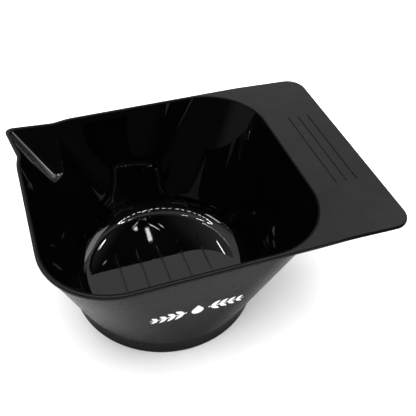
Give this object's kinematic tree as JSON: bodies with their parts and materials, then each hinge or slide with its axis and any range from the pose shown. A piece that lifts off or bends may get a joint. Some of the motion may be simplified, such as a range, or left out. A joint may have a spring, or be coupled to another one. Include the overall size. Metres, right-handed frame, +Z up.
{
  "type": "hair color bowl",
  "caption": "Black plastic hair tint bowl with a rounded-square mouth, corner pouring spout, flat side handle with grip grooves, sunken round floor and non-slip foot.",
  "frame": {"origin": "centre of the round foot, on the plane the bowl stands on", "axes": "+Z up, +X towards the handle, +Y away from the printed wall; the spout is at the -X +Y corner"},
  "size_m": [0.1693, 0.1259, 0.074],
  "materials": {
    "bowl_plastic": "black injection-moulded polypropylene, mirror gloss inside the bowl and satin on the outside, the rim and the handle",
    "ring_rubber": "soft matte black thermoplastic rubber",
    "print_ink": "white pad-printed ink"
  },
  "bodies": {
    "root": {"bowl_body": "bowl_plastic", "non_slip_ring": "ring_rubber", "printed_mark": "print_ink"}
  },
  "joints": []
}
